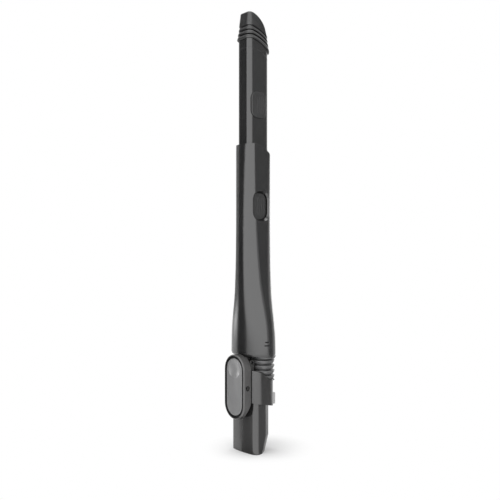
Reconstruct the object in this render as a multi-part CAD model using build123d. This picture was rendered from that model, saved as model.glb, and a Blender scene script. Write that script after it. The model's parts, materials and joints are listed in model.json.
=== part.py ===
from build123d import *
import os
from math import cos, exp, radians, sin, sqrt

# Telescoping crevice tool with a bending neck, millimetres, +Z up, standing on its connector.
# X is the long side of the tube's section, the latch is on -X and the buttons are on -Y.

# Clearances
SEAT = 0.2
RUN = 0.05
PIN_PRESS = 0.02
SLIDE_GAP = 0.35
SIDE_GAP = 0.3

# Collar and the heights above it
COLLAR_W = 29.9
COLLAR_D = 44.0
COLLAR_R = 10.5
COLLAR_X = -1.15
COLLAR_REAR_Z = 46.9
COLLAR_FRONT_RISE = 6.0
COLLAR_REAR_H = 26.9
COLLAR_CURVE_H = 11.8
CURVE_X0 = -16.0
CURVE_X1 = 11.0
CURVE_PULL = 0.4

# Connector plug
PLUG_FRONT_X = -12.8
PLUG_BOW = 2.2
PLUG_MID_X = 1.0
PLUG_REAR_X = 12.4
PLUG_FRONT_IN = 1.75
PLUG_SIDE_SLOPE = 0.127
PLUG_REAR_Y = 10.7
PLUG_CORNER_R = 5.4
PLUG_WALL = 2.0
PLUG_DEPTH = 19.1
LEAD_H = 16.5
LEAD_IN = 5.5
KEY_Y = -0.5
KEY_W = 1.2
KEY_DEPTH = 0.6

# Rear catch
CATCH_RISE = 0.5
CATCH_H = 11.6
CATCH_T = 6.6
CATCH_HALF = 13.0
CATCH_EDGE = 1.2
PEG_R = 1.2
PEG_L = 0.9
PEG_Y = 7.0

# Neck hinge
HINGE_IN = 4.5
HINGE_RISE = 7.5
HINGE_TO_TUBE = 6.2
KNUCKLE_R = 3.0
KNUCKLE_HALF = 4.2
HINGE_HALF = 12.5
HINGE_PIN_R = 1.5
STEM_HALF = 2.3
BRACKET_T = 2.0
HINGE_SCREW_R = 0.9
HINGE_SCREW_L = 6.0
HINGE_SCREW_Y = 2.2

# Bellows
BELLOWS_FRONT_IN = 7.9
BELLOWS_W = 24.7
BELLOWS_D_IN = 0.4
BELLOWS_R = 11.0
BELLOWS_PITCH = 5.35
BELLOWS_RIBS = 5
BELLOWS_DEPTH = 3.2
BELLOWS_WALL = 1.2
BELLOWS_LIP = 2.5
CREST_LOW = 4.2
CREST_HIGH = 4.6
SLEEVE_WALL = 1.2
SLEEVE_LOW_L = 11.0
SLEEVE_HIGH_DROP = 3.5

# Sliding inner tube
INNER_W = 27.6
INNER_D = 20.8
INNER_R = 5.7
INNER_WALL = 1.6
SHOE_H = 6.0
SHOE_TONGUE = 8.0
SHOE_WALL = 1.0
TRAVEL = 104.5
END_GAP = 10.3

# Flared outer tube
MOUTH_WALL_X = 1.85
MOUTH_WALL_Y = 3.85
MOUTH_FLAT = 8.9
FOOT_W = 35.0
FOOT_D = 58.0
LEAST_FLAT = 0.3
WINDOW_RISE = 29.8
MOUTH_RISE = 63.9
LIP_X = -13.0
LIP_R = 34.0
OUTER_WALL = 2.2
ROUND_H = 2.4
ROUND_IN = 1.0
FLARE_RISE = 47.0
FLARE_SPREAD = 11.0
TAIL_RISE = 87.0
TAIL_SPREAD = 22.0
TAIL_SHARE = 0.30
FULL_RISE = 51.0
FLARE_LEVELS = 12
FLARE_CROWDING = 1.4
CAVITY_H = 96.0
PLATE_H = 3.7
NECK_SCREW_IN = 2.6
NECK_SCREW_R = 1.1
NECK_SCREW_L = 10.0
NECK_HEAD_R = 1.9
NECK_HEAD_H = 1.2
NECK_BOSS_R = 2.6
WIPER_DROP = 22.0
WIPER_H = 4.0
WIPER_DEPTH = 0.7
MARK_X = -4.4
MARK_RISES = (15.5, 12.0)
MARK_WIDTHS = (4.2, 5.2)
MARK_H = 1.2
MARK_DEPTH = 0.6
MARK_SINK = 0.25

# Buttons and their window
BUTTON_X = -1.5
WINDOW_W = 19.6
WINDOW_H = 27.6
WINDOW_R = 7.5
WINDOW_EDGE = 2.6
WINDOW_EDGE_DEPTH = 3.4
BUTTON_PROUD = 0.9
BUTTON_T = 2.5
BUTTON_EDGE = 0.5
BUTTON_TRAVEL = 1.8
STEM_W = 11.0
STEM_H = 16.0
FLANGE_H = 31.0
FLANGE_T = 1.0
GRIP_RIBS = 5
GRIP_PITCH = 2.6
GRIP_W = 1.3
GRIP_H = 18.0
GRIP_DEPTH = 0.2
CARRIER_WALL = 1.3
CARRIER_END = 2.2
CARRIER_FLOOR = 1.2
BUTTON_SPRING_L = 3.65

# Slanted tip, all heights at its high side
SEAM_RISE = 58.7
SLANT_R = 45.0
SLANT_X = -16.0
NOSE_H = 10.5
TIP_H = 26.8
MOUTH_X = -12.0
MOUTH_R = 22.5
MOUTH_REACH = 0.93
MOUTH_FALL = 2.4
RIB_PITCH = 4.6
RIB_COUNT = 3
RIB_STEPS = 3
RIB_H = 3.5
RIB_OUT = 1.8
RIB_STEP = 0.8
RIB_TAPER = 1.2
GROOVE_IN = 0.6
CAP_TILT_LOW = 22.0
CAP_TILT_HIGH = 41.0
CAP_OUT = -0.3
CAP_IN = 2.6
CAP_SPARE = 9.0
NOSE_WALL = 1.4
NOSE_TONGUE = 18.0
CORE_LOW = -2.0
CORE_HIGH = -3.6
CORE_DROP = 2.5
CORE_GAP = 0.1

# Latch
LATCH_RISE = 21.3
HOUSING_W = 32.0
HOUSING_H = 66.2
HOUSING_T = 9.6
HOUSING_EDGE = 1.6
RIM = 3.8
PADDLE_SINK = 0.3
PADDLE_T = 2.9
PADDLE_EDGE = 0.7
PADDLE_GAP = 0.5
BEZEL_W = 2.0
BEZEL_SINK = 0.7
BEZEL_T = 1.5
POCKET_LEDGE = 1.8
POCKET_DEPTH = 7.6
POCKET_LOW = 12.4
LATCH_PIN_DEPTH = 5.3
LATCH_PIN_R = 1.2
PIN_RECESS = 2.2
PIN_RECESS_R = 2.7
BOSS_R = 2.0
BOSS_END = 3.5
DIMPLE_RISE = 18.2
DIMPLE_R = 9.2
DIMPLE_DEPTH = 1.7
LATCH_SPRING_RISE = 20.6
BACK_CUT_DEPTH = 6.0
BACK_CUT_DROP = 25.6
HOOK_RISE = 0.9
HOOK_H = 5.0
HOOK_HALF = 5.0
HOOK_ROOM = 0.8
HOUSING_SCREW_R = 0.9
HOUSING_SCREW_L = 4.2
HOUSING_SCREW_RISES = (5.0, 11.6)
STEP_DEPTH = 7.4

# Springs
WIRE_R = 0.3
SPRING_R = 2.6
SPRING_PITCH = 1.25

# Heights that follow from those above
COLLAR_FRONT_Z = COLLAR_REAR_Z + COLLAR_FRONT_RISE
COLLAR_TOP_LOW = COLLAR_REAR_Z + COLLAR_REAR_H
COLLAR_TOP_HIGH = COLLAR_TOP_LOW + COLLAR_CURVE_H
PLUG_TOP = COLLAR_REAR_Z + PLUG_DEPTH
LATCH_Z = COLLAR_REAR_Z + LATCH_RISE
HINGE_Z = COLLAR_TOP_HIGH + HINGE_RISE
OUTER_Z0 = HINGE_Z + HINGE_TO_TUBE
PLATE_TOP = OUTER_Z0 + PLATE_H
BELLOWS_TOP = OUTER_Z0 - SEAT
SHOE_Z = PLATE_TOP + END_GAP + TRAVEL
TUBE_Z0 = SHOE_Z + SHOE_H
WINDOW_Z = TUBE_Z0 + WINDOW_RISE
OUTER_TOP_Z = WINDOW_Z + MOUTH_RISE
RETRACT_Z = WINDOW_Z + TRAVEL
SEAM_Z = RETRACT_Z + SEAM_RISE
RIB_BASE_Z = SEAM_Z + NOSE_H
TIP_TOP_Z = RIB_BASE_Z + TIP_H
OVER = TIP_TOP_Z + 20

# Widths and places that follow from those above
COLLAR_FRONT_X = COLLAR_X - COLLAR_W / 2
COLLAR_REAR_X = COLLAR_X + COLLAR_W / 2
HINGE_X = COLLAR_FRONT_X + HINGE_IN
BELLOWS_CX = COLLAR_FRONT_X + BELLOWS_FRONT_IN + BELLOWS_W / 2
BELLOWS_D = COLLAR_D - BELLOWS_D_IN
AIR_IN = BELLOWS_DEPTH + BELLOWS_WALL
AIR_W = BELLOWS_W - 2 * AIR_IN
AIR_D = BELLOWS_D - 2 * AIR_IN
AIR_R = BELLOWS_R - AIR_IN
BORE_W = INNER_W - 2 * INNER_WALL
BORE_D = INNER_D - 2 * INNER_WALL
BORE_R = INNER_R - INNER_WALL
GUIDE_W = INNER_W + 2 * SLIDE_GAP
GUIDE_D = INNER_D + 2 * SLIDE_GAP
GUIDE_R = INNER_R + SLIDE_GAP
MOUTH_W = GUIDE_W + 2 * MOUTH_WALL_X
MOUTH_D = GUIDE_D + 2 * MOUTH_WALL_Y
FACE_Y = -INNER_D / 2
WALL_Y = FACE_Y + INNER_WALL
BUTTON_Y = FACE_Y - BUTTON_PROUD
FLANGE_Y = WALL_Y + SEAT
CARRIER_FLOOR_Y = FLANGE_Y + FLANGE_T + BUTTON_SPRING_L
HOUSING_X1 = COLLAR_FRONT_X - SEAT
HOUSING_X0 = HOUSING_X1 - HOUSING_T
PADDLE_X0 = HOUSING_X0 + PADDLE_SINK
PADDLE_X1 = PADDLE_X0 + PADDLE_T
PADDLE_W = HOUSING_W - 2 * RIM
PADDLE_H = HOUSING_H - 2 * RIM
BEZEL_X0 = HOUSING_X0 + BEZEL_SINK
POCKET_X1 = HOUSING_X0 + POCKET_DEPTH
LATCH_PIN_X = HOUSING_X0 + LATCH_PIN_DEPTH
FAR = 3 * FOOT_D


def prism(w, d, r, z0, z1, cx=0.0):
    """Upright bar of rounded rectangular section."""
    return extrude(Pos(cx, 0, z0) * RectangleRounded(w, d, r), z1 - z0)


def block(x0, x1, y0, y1, z0, z1):
    """Box between two corners."""
    centre = Pos((x0 + x1) / 2, (y0 + y1) / 2, (z0 + z1) / 2)
    return centre * Box(x1 - x0, abs(y1 - y0), z1 - z0)


def stack(levels, ruled=False, cx=0.0):
    """Loft through rounded rectangles given as (z, width, depth, radius)."""
    sections = [Pos(cx, 0, z) * RectangleRounded(w, d, r) for z, w, d, r in levels]
    return loft(sections, ruled=ruled)


def oval_face(level):
    """Face with elliptical corners, from (z, half width, half depth, half flats along X and Y)."""
    z, half_w, half_d, flat_x, flat_y = level
    edges = []
    corners = ((1, 1, 0), (-1, 1, 90), (-1, -1, 180), (1, -1, 270))
    for sx, sy, start in corners:
        centre = (sx * flat_x, sy * flat_y)
        edges.append(EllipticalCenterArc(centre, half_w - flat_x, half_d - flat_y, start, arc_size=90))
    edges.append(Line((flat_x, half_d), (-flat_x, half_d)))
    edges.append(Line((-half_w, flat_y), (-half_w, -flat_y)))
    edges.append(Line((-flat_x, -half_d), (flat_x, -half_d)))
    edges.append(Line((half_w, -flat_y), (half_w, flat_y)))
    return Pos(0, 0, z) * make_face(Curve() + edges)


def oval_stack(levels, ruled=False):
    """Loft through oval faces."""
    return loft([oval_face(level) for level in levels], ruled=ruled)


def oval_slab(z0, z1, inset):
    """Slice of the flared tube's outline at mid height, drawn in by inset."""
    level = outer_section((z0 + z1) / 2, inset)
    return Pos(0, 0, z0) * extrude(oval_face((0, *level[1:])), z1 - z0)


def rod_y(x, z, radius, y0, y1):
    """Round rod along Y."""
    return Pos(x, (y0 + y1) / 2, z) * Rot(90, 0, 0) * Cylinder(radius, y1 - y0)


def stadium_x(width, height, x0, x1, z):
    """Upright stadium extruded along X."""
    plane = Plane((x0, 0, z), x_dir=(0, 1, 0), z_dir=(1, 0, 0))
    return extrude(plane * SlotOverall(height, width, rotation=90), x1 - x0)


def button_face(grow, y, z):
    """Button outline grown by a margin, facing along Y."""
    plane = Plane((BUTTON_X, y, z), x_dir=(1, 0, 0), z_dir=(0, 1, 0))
    return plane * RectangleRounded(WINDOW_W + 2 * grow, WINDOW_H + 2 * grow, WINDOW_R + grow)


def oval_y(grow, y0, y1, z):
    """Button outline grown by a margin, extruded along Y."""
    return extrude(button_face(grow, y0, z), y1 - y0)


def side_region(edges):
    """Closed outline in X and Z, extruded through the whole depth."""
    return extrude(Plane.XZ * make_face(edges), FAR, both=True)


def under_arc(z_flat, x_flat, radius, share=0.96, fall=0.0):
    """Everything below a line that is level up to x_flat, falls away in an arc and ends in a slope."""
    reach = share * radius
    end = (x_flat + reach, z_flat - radius + sqrt(radius**2 - reach**2))
    middle = (x_flat + 0.6 * radius, z_flat - 0.2 * radius)
    tail = (end[0] + INNER_W, end[1] - fall * INNER_W)
    outline = Curve() + [
        Line((-FAR, z_flat), (x_flat, z_flat)),
        ThreePointArc((x_flat, z_flat), middle, end),
        Polyline(end, tail, (tail[0], 0), (-FAR, 0), (-FAR, z_flat)),
    ]
    return side_region(outline)


def under_slant(z_high):
    """Everything below a copy of the tip's slant."""
    return under_arc(z_high, SLANT_X, SLANT_R)


def under_mouth(z_high):
    """Everything below a copy of the tip's open mouth."""
    return under_arc(z_high, MOUTH_X, MOUTH_R, MOUTH_REACH, MOUTH_FALL)


def under_collar_curve(rise):
    """Everything below the collar's S-shaped upper edge."""
    high = COLLAR_TOP_HIGH + rise
    low = COLLAR_TOP_LOW + rise
    pull = (CURVE_X1 - CURVE_X0) * CURVE_PULL
    outline = Curve() + [
        Line((-FAR, high), (CURVE_X0, high)),
        Bezier((CURVE_X0, high), (CURVE_X0 + pull, high), (CURVE_X1 - pull, low), (CURVE_X1, low)),
        Polyline((CURVE_X1, low), (FAR, low), (FAR, 0), (-FAR, 0), (-FAR, high)),
    ]
    return side_region(outline)


def plug_profile(inset, pulled):
    """Shield-shaped section of the connector with a bowed front, drawn in, its rear pulled forwards."""
    front_y = COLLAR_D / 2 - PLUG_FRONT_IN
    mid_x = PLUG_MID_X - pulled
    mid_y = front_y - PLUG_SIDE_SLOPE * (mid_x - PLUG_FRONT_X)
    rear_x = PLUG_REAR_X - pulled
    points = [
        (PLUG_FRONT_X, -front_y),
        (mid_x, -mid_y),
        (rear_x, -PLUG_REAR_Y),
        (rear_x, PLUG_REAR_Y),
        (mid_x, mid_y),
        (PLUG_FRONT_X, front_y),
    ]
    bow = ThreePointArc(points[-1], (PLUG_FRONT_X - PLUG_BOW, 0), points[0])
    face = make_face([Polyline(*points), bow])
    rounded = fillet(face.vertices(), PLUG_CORNER_R)
    if inset == 0:
        return rounded
    return offset(rounded, -inset)


def plug_solid(inset):
    """Connector's outside or bore, with the lead-in at its lower end."""
    lead = loft([plug_profile(inset, LEAD_IN), Pos(0, 0, LEAD_H) * plug_profile(inset, 0)], ruled=True)
    return lead + extrude(Pos(0, 0, LEAD_H) * plug_profile(inset, 0), PLUG_TOP - LEAD_H)


def coil(height):
    """Compression spring standing on the origin along Z, as one unbroken wire."""
    path = Helix(pitch=SPRING_PITCH, height=height - 2 * WIRE_R, radius=SPRING_R)
    start = Plane(origin=path @ 0, z_dir=path % 0)
    return Pos(0, 0, WIRE_R) * sweep(start * Circle(WIRE_R), path=path)


def screw(shank_r, length, head_r, head_h):
    """Pan-head screw, head upwards, seat of the head at the origin."""
    shank = Pos(0, 0, -length / 2) * Cylinder(shank_r, length)
    head = Pos(0, 0, head_h / 2) * Cylinder(head_r, head_h)
    slot_l = 1.2 * head_r
    slot_w = 0.3 * head_r
    cross = Pos(0, 0, head_h) * (Box(slot_l, slot_w, head_h) + Box(slot_w, slot_l, head_h))
    return shank + head - cross


def screw_hole(shank_r, length):
    """Room for a screw's shank below its head."""
    return Pos(0, 0, -length / 2) * Cylinder(shank_r + RUN, length + 2 * SEAT)


def outer_section(z, inset):
    """Level of the flared tube, drawn in by inset: an oval foot that turns into a slim squarer top."""
    flare_z = OUTER_Z0 + FLARE_RISE
    tail_z = OUTER_Z0 + TAIL_RISE
    share = (1 - TAIL_SHARE) / (1 + exp((z - flare_z) / FLARE_SPREAD))
    share = share + TAIL_SHARE / (1 + exp((z - tail_z) / TAIL_SPREAD))
    deep = share**0.75
    down = (OUTER_TOP_Z - z) / (OUTER_TOP_Z - OUTER_Z0 - FULL_RISE)
    down = min(max(down, 0.0), 1.0)
    wide = 1 - (1 - down) ** 3
    half_w = (MOUTH_W + (FOOT_W - MOUTH_W) * wide) / 2
    half_d = (MOUTH_D + (FOOT_D - MOUTH_D) * deep) / 2
    flat_x = LEAST_FLAT + (MOUTH_FLAT - LEAST_FLAT) * (1 - down**1.5)
    return (z, half_w - inset, half_d - inset, flat_x, LEAST_FLAT)


def tube_level(z, out):
    """Level of the inner tube's section grown by out."""
    return (z, INNER_W + 2 * out, INNER_D + 2 * out, INNER_R + out)


def tilted_level(z, out, tilt):
    """Inner tube's section grown by out, on a plane that falls towards +X."""
    turn = radians(tilt)
    plane = Plane((0, 0, z), x_dir=(cos(turn), 0, -sin(turn)), z_dir=(sin(turn), 0, cos(turn)))
    return plane * RectangleRounded((INNER_W + 2 * out) / cos(turn), INNER_D + 2 * out, INNER_R + out)


nodes = {}

# Connector plug: hollow, with a lead-in at its rear and a key groove
bow_x = PLUG_FRONT_X - PLUG_BOW
key_groove = block(bow_x - 1, bow_x + KEY_DEPTH, KEY_Y - KEY_W / 2, KEY_Y + KEY_W / 2, -1, COLLAR_REAR_Z - 2)
nodes["connector_spigot"] = plug_solid(0) - plug_solid(PLUG_WALL) - key_groove

# Collar: sleeve round the plug, airway above it and a level pad for the hinge
collar = prism(COLLAR_W, COLLAR_D, COLLAR_R, COLLAR_REAR_Z - 5, HINGE_Z, COLLAR_X)
pad_x0 = HINGE_X - STEM_HALF - SEAT
pad_x1 = HINGE_X + STEM_HALF + SEAT
pad_half = HINGE_HALF + SEAT
hinge_pad = block(pad_x0, pad_x1, -pad_half, pad_half, PLUG_TOP + BRACKET_T, COLLAR_TOP_HIGH)
floor_line = Polyline((-FAR, COLLAR_FRONT_Z), (COLLAR_FRONT_X, COLLAR_FRONT_Z),
                      (COLLAR_REAR_X, COLLAR_REAR_Z), (FAR, COLLAR_REAR_Z),
                      (FAR, 0), (-FAR, 0), close=True)
plug_socket = extrude(plug_profile(-SEAT, 0), PLUG_TOP + SEAT)
airway = prism(AIR_W, AIR_D, AIR_R, PLUG_TOP - 5, PLATE_TOP + 5, BELLOWS_CX)
collar = (collar & under_collar_curve(0)) + hinge_pad
collar = collar - side_region(floor_line) - plug_socket - airway

# Rear catch: block with two pegs in the collar's rear wall
catch_z0 = COLLAR_REAR_Z + CATCH_RISE
catch = block(COLLAR_REAR_X + SEAT, COLLAR_REAR_X + CATCH_T, -CATCH_HALF, CATCH_HALF,
              catch_z0, catch_z0 + CATCH_H)
catch = chamfer(catch.faces().sort_by(Axis.X)[-1].edges(), CATCH_EDGE)
for side in (-1, 1):
    spot = Pos(COLLAR_REAR_X - PEG_L / 2 + SEAT, side * PEG_Y, catch_z0 + CATCH_H / 2) * Rot(0, 90, 0)
    catch = catch + spot * Cylinder(PEG_R, PEG_L + 2 * SEAT)
    collar = collar - spot * Cylinder(PEG_R + RUN, PEG_L + 4 * SEAT)
nodes["rear_catch"] = catch

# Hinge bracket: plate on the collar's pad with two knuckles
bracket_z0 = COLLAR_TOP_HIGH + RUN
bracket_z1 = bracket_z0 + BRACKET_T
stem_x0 = HINGE_X - STEM_HALF
stem_x1 = HINGE_X + STEM_HALF
bracket = block(stem_x0, stem_x1, -HINGE_HALF, HINGE_HALF, bracket_z0, bracket_z1)
for side in (-1, 1):
    y_in = side * (KNUCKLE_HALF + SIDE_GAP)
    y_out = side * HINGE_HALF
    bracket = bracket + block(stem_x0, stem_x1, y_in, y_out, bracket_z0, HINGE_Z)
    bracket = bracket + rod_y(HINGE_X, HINGE_Z, KNUCKLE_R, min(y_in, y_out), max(y_in, y_out))
bracket = bracket - rod_y(HINGE_X, HINGE_Z, HINGE_PIN_R + PIN_PRESS, -FAR, FAR)
nodes["hinge_pin"] = rod_y(HINGE_X, HINGE_Z, HINGE_PIN_R, -HINGE_HALF, HINGE_HALF)
hinge_screws = []
for side in (-1, 1):
    spot = Pos(HINGE_X, side * HINGE_SCREW_Y, bracket_z1)
    hinge_screws.append(spot * screw(HINGE_SCREW_R, HINGE_SCREW_L, 1.7 * HINGE_SCREW_R, HINGE_SCREW_R))
    hole = spot * screw_hole(HINGE_SCREW_R, HINGE_SCREW_L)
    bracket = bracket - hole
    collar = collar - hole
nodes["hinge_bracket"] = bracket
nodes["hinge_screws"] = Compound(hinge_screws)


def sleeve(z0, z1):
    """Thin airway liner."""
    outside = prism(AIR_W - 2 * SEAT, AIR_D - 2 * SEAT, AIR_R - SEAT, z0, z1, BELLOWS_CX)
    inset = SEAT + SLEEVE_WALL
    return outside - prism(AIR_W - 2 * inset, AIR_D - 2 * inset, AIR_R - inset, z0 - 1, z1 + 1, BELLOWS_CX)


# Airway sleeves that hold the two ends of the bellows
nodes["neck_lower_sleeve"] = sleeve(PLUG_TOP + SEAT, PLUG_TOP + SLEEVE_LOW_L)
nodes["neck_upper_sleeve"] = sleeve(OUTER_Z0 - SLEEVE_HIGH_DROP, PLATE_TOP)


def bellows_level(z, drawn_in):
    """Level of the bellows, drawn in from its crests."""
    return (z, BELLOWS_W - 2 * drawn_in, BELLOWS_D - 2 * drawn_in, BELLOWS_R - drawn_in)


# Bellows: ribbed rubber neck, cut to the collar's curve
levels = []
bellows_low = BELLOWS_TOP - BELLOWS_LIP - BELLOWS_RIBS * BELLOWS_PITCH
for rib in range(BELLOWS_RIBS):
    base = bellows_low + rib * BELLOWS_PITCH
    levels.append(bellows_level(base, BELLOWS_DEPTH))
    levels.append(bellows_level(base + CREST_LOW, 0.0))
    levels.append(bellows_level(base + CREST_HIGH, 0.0))
levels.append(bellows_level(BELLOWS_TOP - BELLOWS_LIP, BELLOWS_DEPTH))
levels.append(bellows_level(BELLOWS_TOP, BELLOWS_DEPTH * (1 - BELLOWS_LIP / CREST_LOW)))
bellows = stack(levels, ruled=True, cx=BELLOWS_CX)
nodes["bellows"] = bellows - airway - under_collar_curve(SEAT)

# Outer tube: flared shell with a straight guide bore, a keyway and a button window
foot_z = OUTER_Z0 + ROUND_H
rounding = [
    outer_section(OUTER_Z0, ROUND_IN),
    outer_section(OUTER_Z0 + 0.35 * ROUND_H, 0.4 * ROUND_IN),
    outer_section(foot_z, 0.0),
]
flare_h = OUTER_TOP_Z + 2 * ROUND_H - foot_z
flare_heights = [foot_z + flare_h * (n / FLARE_LEVELS) ** FLARE_CROWDING for n in range(FLARE_LEVELS + 1)]
outer = oval_stack([outer_section(z, 0.0) for z in flare_heights]) + oval_stack(rounding, ruled=True)
outer = outer & under_arc(OUTER_TOP_Z, LIP_X, LIP_R)
cavity_heights = [OUTER_Z0 - 1] + [z for z in flare_heights if z <= OUTER_Z0 + CAVITY_H]
cavity = oval_stack([outer_section(z, OUTER_WALL) for z in cavity_heights])
cavity_half_d = outer_section(foot_z, OUTER_WALL)[2]
guide_bore = prism(GUIDE_W, GUIDE_D, GUIDE_R, OUTER_Z0, OVER)
keyway_half = WINDOW_W / 2 + SIDE_GAP
keyway = Pos(BUTTON_X, 0, 0) * block(-keyway_half, keyway_half, BUTTON_Y - SLIDE_GAP, WALL_Y, OUTER_Z0, OVER)
window = oval_y(0.0, -FOOT_D, WALL_Y, WINDOW_Z)
window_y = -outer_section(WINDOW_Z, 0.0)[2] - 1
window_edge = loft([button_face(WINDOW_EDGE, window_y, WINDOW_Z),
                    button_face(0.0, window_y + WINDOW_EDGE_DEPTH, WINDOW_Z)], ruled=True)
outer = outer - cavity - guide_bore - keyway - window - window_edge

# Wiper ring in the mouth, open at the keyway
wiper_z0 = OUTER_TOP_Z - WIPER_DROP
ring_w = GUIDE_W + 2 * WIPER_DEPTH
ring_d = GUIDE_D + 2 * WIPER_DEPTH
ring_r = GUIDE_R + WIPER_DEPTH
open_half = keyway_half + SIDE_GAP
open_y = FACE_Y + 2 * INNER_WALL
groove_open = Pos(BUTTON_X, 0, 0) * block(-open_half, open_half, -FOOT_D, open_y, OUTER_Z0, OVER)
wiper_half = open_half + RUN
wiper_open = Pos(BUTTON_X, 0, 0) * block(-wiper_half, wiper_half, -FOOT_D, open_y + RUN, OUTER_Z0, OVER)
wiper_groove = prism(ring_w, ring_d, ring_r, wiper_z0, wiper_z0 + WIPER_H)
wiper = prism(ring_w - 2 * RUN, ring_d - 2 * RUN, ring_r - RUN, wiper_z0 + RUN, wiper_z0 + WIPER_H - RUN)
outer = outer - (wiper_groove - groove_open)
nodes["mouth_wiper"] = wiper - guide_bore - wiper_open

# Index marks: two short inlaid bars that follow the foot's curve
marks = []
for mark_rise, mark_w in zip(MARK_RISES, MARK_WIDTHS):
    z0 = OUTER_Z0 + mark_rise - MARK_H / 2
    z1 = z0 + MARK_H
    x0 = MARK_X - mark_w / 2
    x1 = MARK_X + mark_w / 2
    bottom = MARK_SINK + MARK_DEPTH
    outer = outer - (block(x0, x1, -FOOT_D, 0, z0, z1) - oval_slab(z0, z1, bottom + RUN))
    mark = block(x0 + RUN, x1 - RUN, -FOOT_D, 0, z0 + RUN, z1 - RUN)
    marks.append((mark & oval_slab(z0, z1, MARK_SINK)) - oval_slab(z0, z1, bottom))
nodes["index_marks"] = Compound(marks)

# Neck frame: end plate of the outer tube with the moving knuckle
frame = oval_slab(OUTER_Z0, PLATE_TOP, OUTER_WALL + SEAT)
frame = frame - airway
frame = frame + block(stem_x0, stem_x1, -KNUCKLE_HALF, KNUCKLE_HALF, HINGE_Z, OUTER_Z0 + PLATE_H / 2)
frame = frame + rod_y(HINGE_X, HINGE_Z, KNUCKLE_R, -KNUCKLE_HALF, KNUCKLE_HALF)
frame = frame - rod_y(HINGE_X, HINGE_Z, HINGE_PIN_R + RUN, -FAR, FAR)
neck_screw_y = cavity_half_d - NECK_SCREW_IN
neck_screws = []
boss_z0 = PLATE_TOP + SEAT
for side in (-1, 1):
    y = side * neck_screw_y
    spot = Pos(0, y, OUTER_Z0 + NECK_HEAD_H + SEAT) * Rot(180, 0, 0)
    neck_screws.append(spot * screw(NECK_SCREW_R, NECK_SCREW_L, NECK_HEAD_R, NECK_HEAD_H))
    head_room = spot * Pos(0, 0, NECK_HEAD_H) * Cylinder(NECK_HEAD_R + RUN, 2 * NECK_HEAD_H)
    hole = spot * screw_hole(NECK_SCREW_R, NECK_SCREW_L)
    frame = frame - head_room - hole
    boss = Pos(0, y, boss_z0 + NECK_SCREW_L / 2) * Cylinder(NECK_BOSS_R, NECK_SCREW_L)
    lug_y = side * (cavity_half_d + OUTER_WALL / 4)
    lug = block(-NECK_BOSS_R / 2, NECK_BOSS_R / 2, y, lug_y, boss_z0, boss_z0 + NECK_SCREW_L)
    outer = outer + (boss + lug) - hole
nodes["neck_frame"] = frame
nodes["neck_screws"] = Compound(neck_screws)
nodes["outer_tube"] = outer

# Inner tube with two button openings, cut to the slant at the seam
inner = prism(INNER_W, INNER_D, INNER_R, TUBE_Z0, SEAM_Z + 1) & under_slant(SEAM_Z)
inner = inner - prism(BORE_W, BORE_D, BORE_R, TUBE_Z0 - 1, OVER)
for z in (WINDOW_Z, RETRACT_Z):
    inner = inner - oval_y(0.0, -FOOT_D, WALL_Y + 2, z)
nodes["inner_tube"] = inner

# End bush of the inner tube
shoe = prism(INNER_W + SLIDE_GAP / 2, INNER_D + SLIDE_GAP / 2, INNER_R, SHOE_Z, TUBE_Z0 - RUN)
shoe = shoe + prism(BORE_W - 2 * SEAT, BORE_D - 2 * SEAT, BORE_R - SEAT, SHOE_Z, TUBE_Z0 + SHOE_TONGUE)
shoe_in = SEAT + SHOE_WALL
shoe_bore = prism(BORE_W - 2 * shoe_in, BORE_D - 2 * shoe_in, BORE_R - shoe_in, SHOE_Z - 1, OVER)
nodes["slide_shoe"] = shoe - shoe_bore


def button():
    """Button in the inner tube's wall, centred on height zero."""
    back = BUTTON_Y + BUTTON_T
    pad = oval_y(-SIDE_GAP, BUTTON_Y, back, 0)
    pad = fillet(pad.faces().sort_by(Axis.Y)[0].edges(), BUTTON_EDGE)
    for n in range(GRIP_RIBS):
        x = BUTTON_X + (n - (GRIP_RIBS - 1) / 2) * GRIP_PITCH
        pad = pad - block(x - GRIP_W / 2, x + GRIP_W / 2, BUTTON_Y - 1, BUTTON_Y + GRIP_DEPTH,
                          -GRIP_H / 2, GRIP_H / 2)
    stem = block(-STEM_W / 2, STEM_W / 2, back - SEAT, FLANGE_Y + FLANGE_T, -STEM_H / 2, STEM_H / 2)
    flange = block(-STEM_W / 2, STEM_W / 2, FLANGE_Y, FLANGE_Y + FLANGE_T, -FLANGE_H / 2, FLANGE_H / 2)
    return pad + Pos(BUTTON_X, 0, 0) * (stem + flange)


def carrier():
    """Cup behind a button, open towards the wall, with room for the pressed button."""
    cup_y = WALL_Y + SEAT
    room_w = STEM_W + 2 * SIDE_GAP
    room_h = FLANGE_H + 2 * SIDE_GAP
    cup_w = room_w + 2 * CARRIER_WALL
    cup_h = room_h + 2 * CARRIER_END
    cup = block(-cup_w / 2, cup_w / 2, cup_y, CARRIER_FLOOR_Y + CARRIER_FLOOR, -cup_h / 2, cup_h / 2)
    room = block(-room_w / 2, room_w / 2, cup_y - 1, CARRIER_FLOOR_Y, -room_h / 2, room_h / 2)
    pressed = oval_y(0.0, cup_y - 1, BUTTON_Y + BUTTON_T + BUTTON_TRAVEL + SIDE_GAP, 0)
    return Pos(BUTTON_X, 0, 0) * (cup - room) - pressed


# Buttons, their carriers and springs
spring_y = FLANGE_Y + FLANGE_T
button_spring = Pos(BUTTON_X, spring_y + RUN, 0) * Rot(-90, 0, 0) * coil(BUTTON_SPRING_L - 2 * RUN)
for name, z in (("extend", WINDOW_Z), ("retract", RETRACT_Z)):
    nodes[name + "_button"] = Pos(0, 0, z) * button()
    nodes[name + "_carrier"] = Pos(0, 0, z) * carrier()
    nodes[name + "_spring"] = Pos(0, 0, z) * button_spring

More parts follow.
